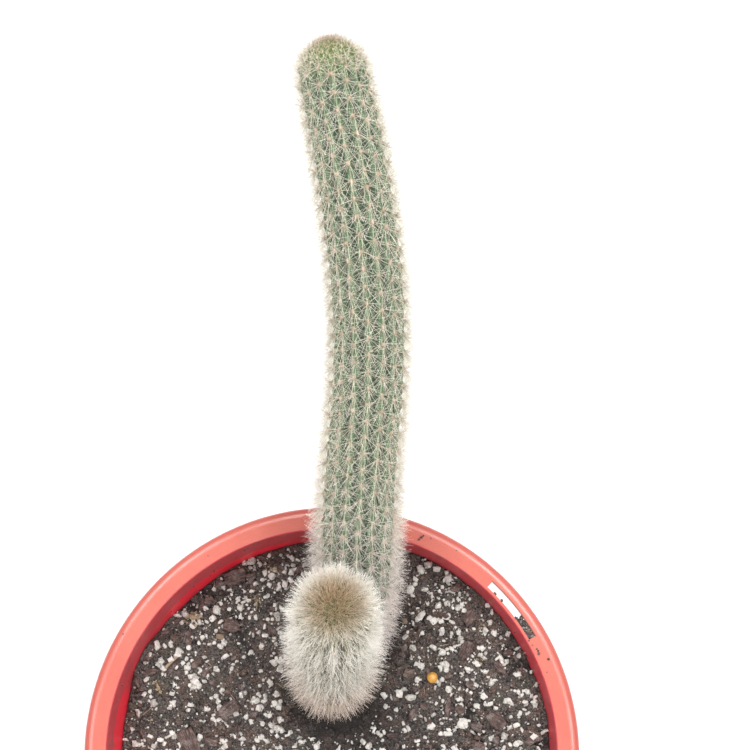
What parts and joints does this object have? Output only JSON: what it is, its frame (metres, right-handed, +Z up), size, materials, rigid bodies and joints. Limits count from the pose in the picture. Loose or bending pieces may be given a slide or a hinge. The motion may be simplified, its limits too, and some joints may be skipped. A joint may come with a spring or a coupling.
{
  "type": "potted cactus",
  "caption": "Potted cleistocactus: a long ribbed stem leaning over the rim and a short one beside it, both covered in fine spines, in a round plastic nursery pot.",
  "frame": {"origin": "centre of the pot's underside, on the surface the pot stands on", "axes": "+Z up the pot's axis; +Y is the way the long stem leans; +X to the right of the camera's view"},
  "size_m": [0.14, 0.2521, 0.2388],
  "materials": {
    "pot_plastic": "satin coral-red injection-moulded plastic",
    "potting_mix": "dark grey-brown bark potting mix with white perlite",
    "long_stem": "green ribbed flesh under fine cream bristles",
    "short_stem": "green ribbed flesh under dense white and tan bristles",
    "bark": "dark brown bark",
    "prill_coat": "yellow resin coat"
  },
  "bodies": {
    "root": {"pot": "pot_plastic", "soil": "potting_mix", "stem_long": "long_stem", "stem_short": "short_stem", "bark_chip_1": "bark", "bark_chip_2": "bark", "bark_chip_3": "bark", "bark_chip_4": "bark", "bark_chip_5": "bark", "bark_chip_6": "bark", "bark_chip_7": "bark", "bark_chip_8": "bark", "fertiliser_prill": "prill_coat"}
  },
  "joints": []
}
